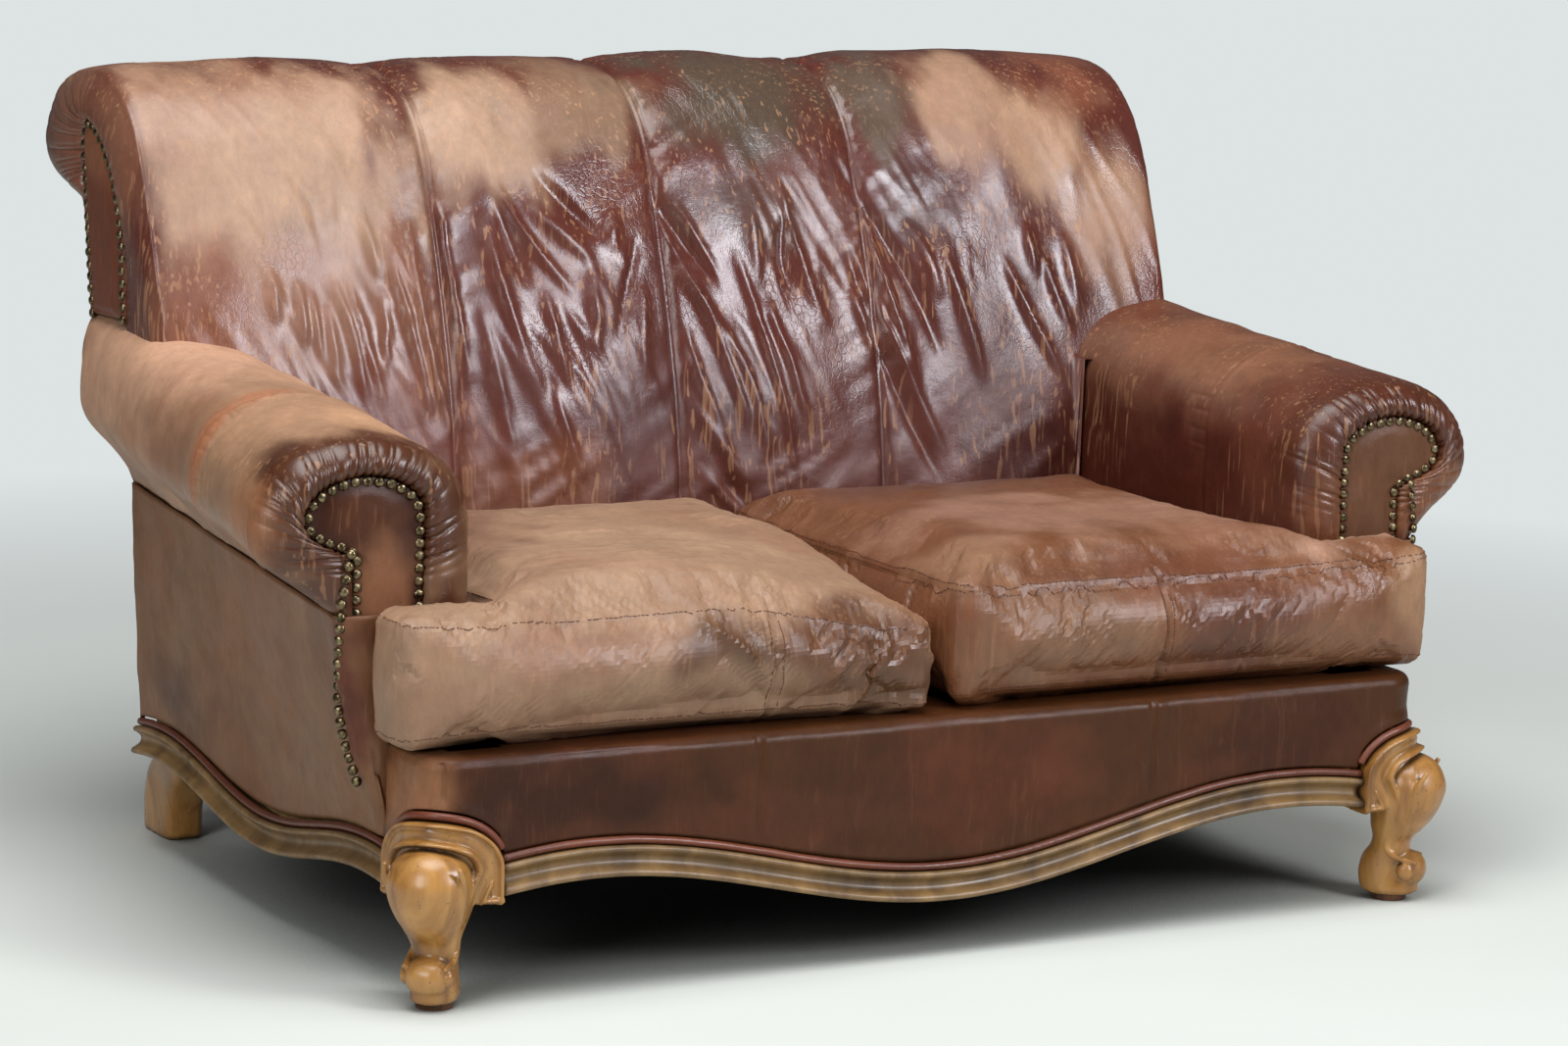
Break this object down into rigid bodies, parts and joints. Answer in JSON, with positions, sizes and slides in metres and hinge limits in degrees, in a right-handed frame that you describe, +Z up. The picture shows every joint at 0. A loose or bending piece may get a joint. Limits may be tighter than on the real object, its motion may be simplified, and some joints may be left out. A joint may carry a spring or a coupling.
{
  "type": "sofa",
  "caption": "Worn leather two-seat sofa with scroll arms, a rolled channel back, loose T-shaped seat cushions, nailed front panels and carved cabriole front legs.",
  "frame": {"origin": "on the floor, in the middle of the sofa's width and depth", "axes": "+X to the right as seen from the front, +Y towards the back, +Z up"},
  "size_m": [1.6594, 1.1372, 0.9833],
  "materials": {
    "rail_wood": "olive gold moulding with a dark cove and rubbed beads",
    "leg_wood": "honey brown varnish, worn on the raised edges, with dark specks",
    "foot_pad": "dark worn glide pad",
    "piping": "red brown leather cord, glossy",
    "border_leather": "dark red brown leather, satin",
    "outside_leather": "mid brown leather, scuffed",
    "arm_leather": "tan worn leather, darker and redder round the front roll",
    "panel_leather": "rust brown leather with antique dark brass nails",
    "back_leather": "dark brown glossy leather with tan worn patches, folds and scratches",
    "cushion_leather": "tan to red brown leather, creased and crumpled",
    "frame_timber": "raw sawn frame timber",
    "webbing": "jute webbing",
    "spring_steel": "zigzag spring steel",
    "deck_cloth": "dark padded deck cloth",
    "dust_cloth": "black bottoming cloth"
  },
  "bodies": {
    "root": {"front_rail": "rail_wood", "side_rail_left": "rail_wood", "side_rail_right": "rail_wood", "front_leg_left": "leg_wood", "front_leg_right": "leg_wood", "front_foot_pad_left": "foot_pad", "front_foot_pad_right": "foot_pad", "back_leg_left": "leg_wood", "back_leg_right": "leg_wood", "front_piping": "piping", "side_piping_left": "piping", "side_piping_right": "piping", "leg_piping_left": "piping", "leg_piping_right": "piping", "front_border": "border_leather", "outside_arm_left": "outside_leather", "outside_arm_right": "outside_leather", "arm_left": "arm_leather", "arm_right": "arm_leather", "arm_front_panel_left": "panel_leather", "arm_front_panel_right": "panel_leather", "back": "back_leather", "back_facing_left": "panel_leather", "back_facing_right": "panel_leather", "outside_back": "outside_leather", "cushion_left": "cushion_leather", "cushion_right": "cushion_leather", "front_frame_rail": "frame_timber", "side_frame_rail_left": "frame_timber", "side_frame_rail_right": "frame_timber", "back_frame_rail": "frame_timber", "centre_brace": "frame_timber", "corner_block_left": "frame_timber", "corner_block_right": "frame_timber", "arm_post_left": "frame_timber", "arm_post_right": "frame_timber", "arm_rail_left": "frame_timber", "arm_rail_right": "frame_timber", "back_post_left": "frame_timber", "back_post_right": "frame_timber", "back_top_rail": "frame_timber", "back_low_rail": "frame_timber", "back_web_1": "webbing", "back_web_2": "webbing", "back_web_3": "webbing", "back_web_4": "webbing", "seat_spring_1": "spring_steel", "seat_spring_2": "spring_steel", "seat_spring_3": "spring_steel", "seat_spring_4": "spring_steel", "seat_spring_5": "spring_steel", "seat_deck": "deck_cloth", "dust_cover": "dust_cloth"}
  },
  "joints": []
}
